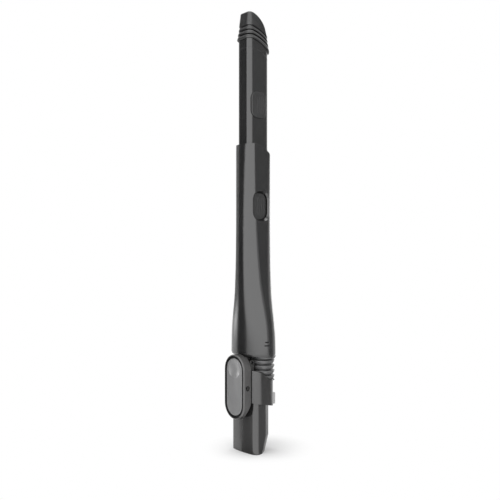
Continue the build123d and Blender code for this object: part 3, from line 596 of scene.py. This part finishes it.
def rib_profile():
    """Ribbed part of the tip as (height over the slant, outward step)."""
    profile = [(BASE_GAP, BASE_IN), (BASE_GAP, RIB_OUT[0] + RIB_TOOTH[0][1])]
    for n, out in enumerate(RIB_OUT):
        base = BASE_GAP + n * RIB_PITCH
        profile += [(base + rise, out + step) for rise, step in RIB_TOOTH]
        profile += [(base + rise, GROOVE_OUT + step) for rise, step in RIB_GROOVE]
    return profile


def cap_profile():
    """Tip's finely lined cap as (share of the way to the mouth, drop below it, outward step)."""
    profile = [(share, 0.0, out) for share, out in CAP_EDGE]
    steps = CAP_LINES * CAP_LINE_STEPS
    for n in range(steps):
        share = CAP_LINE_START + CAP_LINE_SPAN * n / (steps - 1)
        wave = CAP_LINE_DEPTH * cos(2 * pi * n / CAP_LINE_STEPS)
        profile.append((share, 0.0, CAP_OUT - CAP_TAPER * share - wave))
    profile += [(1.0, drop, out) for drop, out in CAP_LIP]
    return profile


def tip_ring(out):
    """Outline of the tip, stepped outwards from the inner tube's."""
    return outline(INNER_HALF_W + out, INNER_HALF_D + out, INNER_R + out)


def make_tip(material):
    """Slanted rubber tip with saw-tooth ribs and an open mouth."""
    rows = []
    for rise, out in rib_profile():
        rows.append([(x, y, slant(x) + rise) for x, y in tip_ring(out)])
    for share, drop, out in cap_profile():
        row = []
        for x, y in tip_ring(out):
            low = slant(x) + CAP_RISE
            row.append((x, y, low + (mouth(x) - low) * share - drop))
        rows.append(row)
    tip = closed_rows("rubber_tip_ribbed", rows, material)
    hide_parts("rubber_tip")
    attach(tip, "slider")


def collar_height(x):
    """Height of the collar's S-shaped edge at x."""
    if x <= CURVE_X0:
        return COLLAR_HIGH
    if x >= CURVE_X1:
        return COLLAR_LOW
    span = CURVE_X1 - CURVE_X0
    pull = CURVE_PULL * span
    low, high = 0.0, 1.0
    for _ in range(CURVE_HALVINGS):
        t = (low + high) / 2
        reach = 3 * (1 - t) ** 2 * t * pull + 3 * (1 - t) * t**2 * (span - pull) + t**3 * span
        if CURVE_X0 + reach < x:
            low = t
        else:
            high = t
    return COLLAR_HIGH + (COLLAR_LOW - COLLAR_HIGH) * (3 * t**2 - 2 * t**3)


def bellows_step(z):
    """How far the bellows is drawn in at height z: barbs that lean outwards going up."""
    phase = (z - BELLOWS_TOP + BELLOWS_LIP) % BELLOWS_PITCH
    if phase < CREST_LOW:
        share = (phase / CREST_LOW) ** BARB_POWER
    elif phase < CREST_HIGH:
        share = 1.0
    else:
        share = (BELLOWS_PITCH - phase) / (BELLOWS_PITCH - CREST_HIGH)
    return BELLOWS_DEPTH * (1 - share)


def cuff_step(z):
    """How far the wide top cuff stands out at height z."""
    cuff_z = BELLOWS_TOP - BELLOWS_LIP + CUFF_EDGE
    return CUFF_OUT * min(max((z - cuff_z) / CUFF_EDGE, 0), 1)


def make_bellows(material):
    """Ribbed neck with a wide top cuff between the collar and the tube, in one fixed shape."""
    middle = (BELLOWS_X0 + BELLOWS_X1) / 2
    half = (BELLOWS_X1 - BELLOWS_X0) / 2
    low = BELLOWS_TOP - BELLOWS_LIP - BELLOWS_RIBS * BELLOWS_PITCH
    tall = BELLOWS_TOP - low
    steps = BELLOWS_RIBS * BARB_STEPS
    levels = []
    for n in range(steps + 1):
        z = low + n * tall / steps
        levels.append((z, bellows_step(z), cuff_step(z)))
    for n in range(INSIDE_STEPS + 1):
        levels.append((BELLOWS_TOP - n * tall / INSIDE_STEPS, BELLOWS_DEPTH + BELLOWS_WALL, 0))
    rows = []
    for z, step, cuff in levels:
        ring = outline(half - step, BELLOWS_HALF_D + cuff - step, min(BELLOWS_R + cuff, half) - step)
        rows.append([(middle + x, y, max(z, collar_height(middle + x) + COLLAR_GAP)) for x, y in ring])
    bellows = closed_rows("neck_bellows", rows, material)
    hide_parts("bellows")
    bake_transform(bellows)


def make_spring(node, axis, material):
    """Coil that fills its solid's box, wound along an axis."""
    low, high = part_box(node)
    along = Vector([float(n == axis) for n in range(3)])
    across = along.zxy
    third = along.cross(across)
    centre = (low + high) / 2
    length = high[axis] - low[axis]
    radius = (high - low).dot(third) / 2 - WIRE_R
    turns = length / SPRING_PITCH
    steps = round(turns * TURN_STEPS)
    points = []
    for n in range(steps + 1):
        turn = 2 * pi * turns * n / steps
        out = across * cos(turn) + third * sin(turn)
        spot = centre + along * (n / steps - 0.5) * (length - 2 * WIRE_R) + out * radius
        for m in range(WIRE_SIDES):
            angle = 2 * pi * m / WIRE_SIDES
            points.append(spot + (out * cos(angle) + along * sin(angle)) * WIRE_R)
    last = steps * WIRE_SIDES
    faces = [tuple(range(WIRE_SIDES)), tuple(reversed(range(last, last + WIRE_SIDES)))]
    for n in range(0, last, WIRE_SIDES):
        for m in range(WIRE_SIDES):
            after = (m + 1) % WIRE_SIDES
            faces.append((n + m, n + WIRE_SIDES + m, n + WIRE_SIDES + after, n + after))
    spring = add_mesh(node + "_coil", points, faces, material, smooth=True)
    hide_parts(node)
    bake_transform(spring)


add_camera()
add_world()
add_floor()
add_lamps()
add_cards()

materials = {name: surface(name, **settings) for name, settings in SURFACES.items()}
for part in frame["record"]["subparts"]:
    surface_name = NODE_SURFACES.get(part["node"], part["material_slot"])
    paint_node(part["node"], materials[surface_name])

make_tip(materials["tip_rubber"])
make_bellows(materials["neck_rubber"])
make_spring("extend_spring", axis=1, material=materials["steel"])
make_spring("retract_spring", axis=1, material=materials["steel"])
make_spring("latch_spring", axis=0, material=materials["steel"])

bpy.context.scene.view_settings.view_transform = "Standard"
